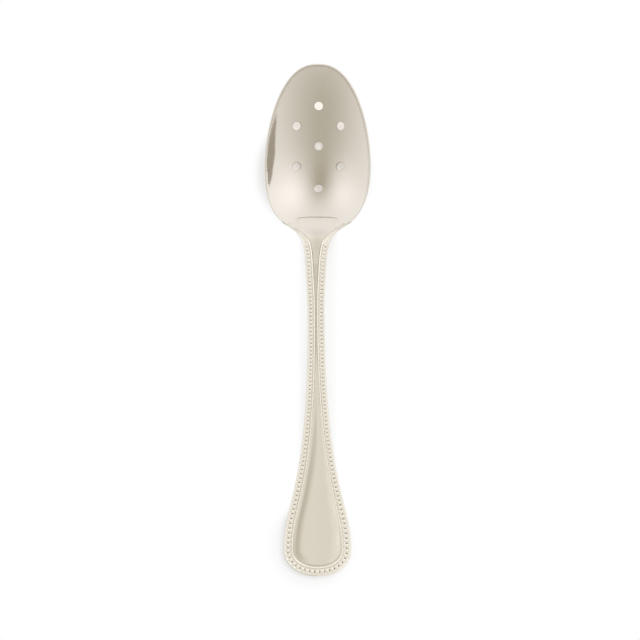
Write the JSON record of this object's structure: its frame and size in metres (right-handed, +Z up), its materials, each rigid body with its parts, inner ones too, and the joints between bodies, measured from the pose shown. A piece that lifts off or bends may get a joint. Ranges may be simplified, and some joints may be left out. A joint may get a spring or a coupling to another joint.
{
  "type": "pierced serving spoon",
  "caption": "Long-handled metal serving spoon with drain holes in an egg-shaped bowl and a beaded border round the front of the handle.",
  "frame": {"origin": "on the table under the middle of the spoon's length and width, the spoon lying on its back", "axes": "+Y along the spoon towards the tip of the bowl, +Z up out of the open side of the bowl, +X to the right of someone who looks down into the bowl with its tip away from them"},
  "size_m": [0.052, 0.25, 0.0227],
  "materials": {
    "silver": "polished"
  },
  "bodies": {
    "root": {"bowl": "silver", "handle": "silver", "bead_border": "silver", "rail_border": "silver", "heel_drop": "silver"}
  },
  "joints": []
}
